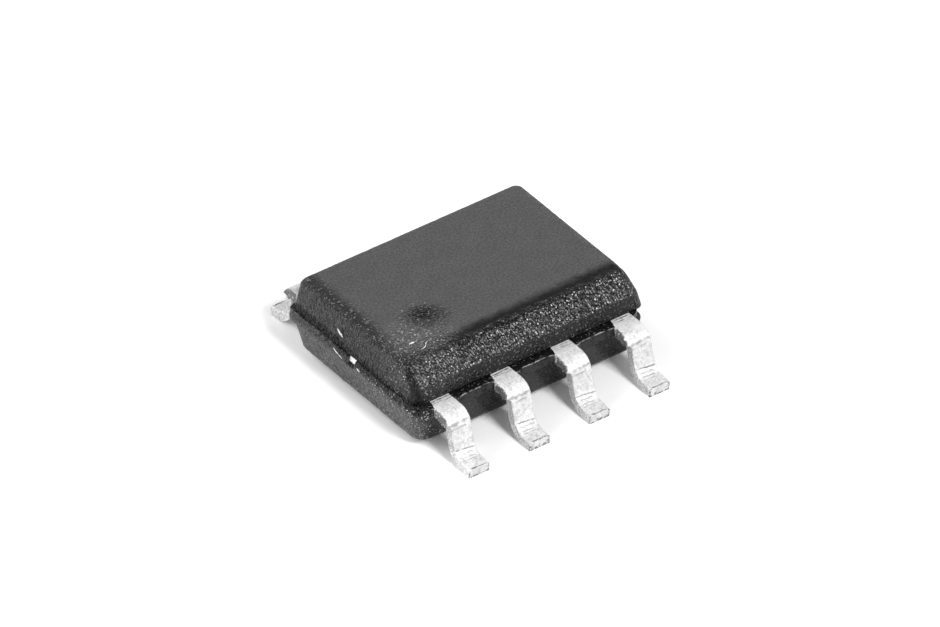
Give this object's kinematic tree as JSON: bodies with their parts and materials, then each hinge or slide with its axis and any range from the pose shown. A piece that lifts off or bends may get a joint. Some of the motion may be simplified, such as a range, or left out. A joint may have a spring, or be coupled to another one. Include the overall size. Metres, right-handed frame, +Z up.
{
  "type": "small-outline integrated circuit package",
  "caption": "Surface-mount chip: a dark moulded resin block with a chamfered edge and a pin 1 dimple, and gull-wing leads along both long sides.",
  "frame": {"origin": "middle of the seating plane, halfway between the two rows of leads and halfway along them", "axes": "+Z up; +Y across the rows, so leads 1 to 4 and the chamfer are on the -Y side; +X along the rows, from lead 1 to lead 4; the pin 1 dimple is near the -X, -Y corner"},
  "size_m": [0.0049, 0.006, 0.0016],
  "materials": {
    "mould_resin": "fine matt grain on top, coarse sparkling grain on the chamfer",
    "tin_plate": "satin tin plating over copper alloy",
    "bare_copper": "bare copper alloy of the lead frame",
    "silver_epoxy": "silver-filled epoxy",
    "silicon": "polished silicon",
    "gold": "bright drawn gold"
  },
  "bodies": {
    "root": {"moulded_body": "mould_resin", "lead_1": "tin_plate", "lead_2": "tin_plate", "lead_3": "tin_plate", "lead_4": "tin_plate", "lead_5": "tin_plate", "lead_6": "tin_plate", "lead_7": "tin_plate", "lead_8": "tin_plate", "die_pad": "bare_copper", "die_attach": "silver_epoxy", "silicon_die": "silicon", "bond_wire_1": "gold", "bond_wire_2": "gold", "bond_wire_3": "gold", "bond_wire_4": "gold", "bond_wire_5": "gold", "bond_wire_6": "gold", "bond_wire_7": "gold", "bond_wire_8": "gold"}
  },
  "joints": []
}
